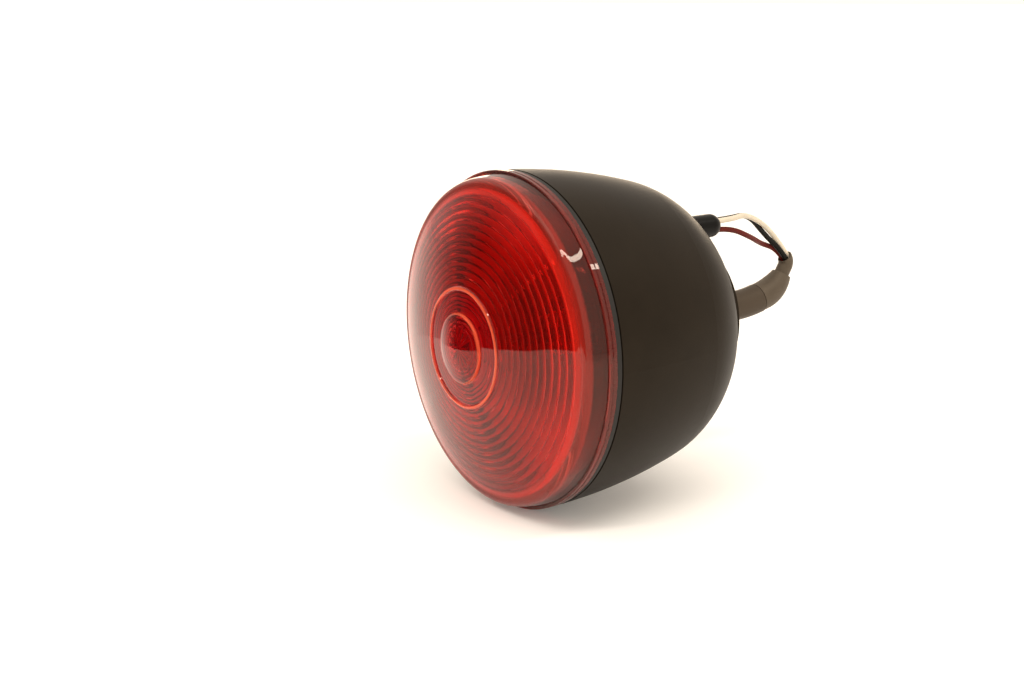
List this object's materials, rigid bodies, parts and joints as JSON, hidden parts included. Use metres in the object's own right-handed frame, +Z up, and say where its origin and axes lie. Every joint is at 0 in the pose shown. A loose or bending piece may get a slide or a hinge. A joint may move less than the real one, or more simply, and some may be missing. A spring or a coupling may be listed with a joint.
{
  "type": "trailer tail light",
  "caption": "Round stop, tail and turn lamp with a domed red ring-fluted lens, bell-shaped housing, rubber shock-mounted bayonet socket and rear wiring spigot.",
  "frame": {"origin": "centre of the rear mounting pad's face, midway between its two threaded inserts", "axes": "+Y out of the rear pad along the lamp's axis, -Y out of the lens, +Z up, along the line of the two inserts"},
  "size_m": [0.114, 0.1459, 0.114],
  "materials": {
    "lens_red": "clear polished",
    "gasket_rubber": "matte",
    "housing_black": "matte moulded",
    "boot_rubber": "matte",
    "plug_rubber": "glossy",
    "plug_plastic": "moulded",
    "brass": "turned",
    "wire_white": "extruded",
    "wire_red": "extruded",
    "wire_black": "extruded",
    "zinc_steel": "zinc plated",
    "mount_rubber": "matte",
    "reflector_metal": "polished",
    "spring_steel": "drawn wire",
    "contact_board": "phenolic board",
    "bulb_clear": "clear",
    "bead_glass": "black glass bead",
    "solder": "solder",
    "filament_metal": "tungsten"
  },
  "bodies": {
    "root": {"housing": "housing_black", "lens_gasket": "gasket_rubber", "threaded_inserts": "brass", "elbow_boot": "boot_rubber", "plug_seal": "plug_rubber", "plug_body": "plug_plastic", "plug_terminals": "brass", "wire_white": "wire_white", "wire_red": "wire_red", "wire_black": "wire_black", "lead_white": "wire_white", "lead_red": "wire_red", "lead_black": "wire_black", "socket_plate": "zinc_steel", "socket_screws": "zinc_steel", "torsion_ring": "mount_rubber", "reflector": "reflector_metal", "socket_shell": "zinc_steel", "contact_spring": "spring_steel"},
    "lens": {"lens": "lens_red"},
    "bulb": {"bulb_glass": "bulb_clear", "bulb_base": "brass", "bulb_insulator": "bead_glass", "bulb_contacts": "solder", "bulb_stem": "bulb_clear", "filament_supports": "filament_metal", "filaments": "filament_metal"},
    "contact_plunger": {"contact_disc": "contact_board", "socket_contacts": "brass"}
  },
  "joints": [
    {"name": "lens_pull", "type": "slide", "parent": "root", "child": "lens", "axis": [0, -1, 0], "range_m": [0, 0.03]},
    {"name": "bulb_twist", "type": "hinge", "parent": "root", "child": "bulb", "pos_m": [0, 0, 0], "axis": [0, 1, 0], "range_deg": [0, 20]},
    {"name": "contact_press", "type": "slide", "parent": "root", "child": "contact_plunger", "axis": [0, 1, 0], "range_m": [0, 0.0012], "stiffness_N_per_m": 800, "springref_m": -0.003, "deforming": ["contact_spring"]}
  ]
}
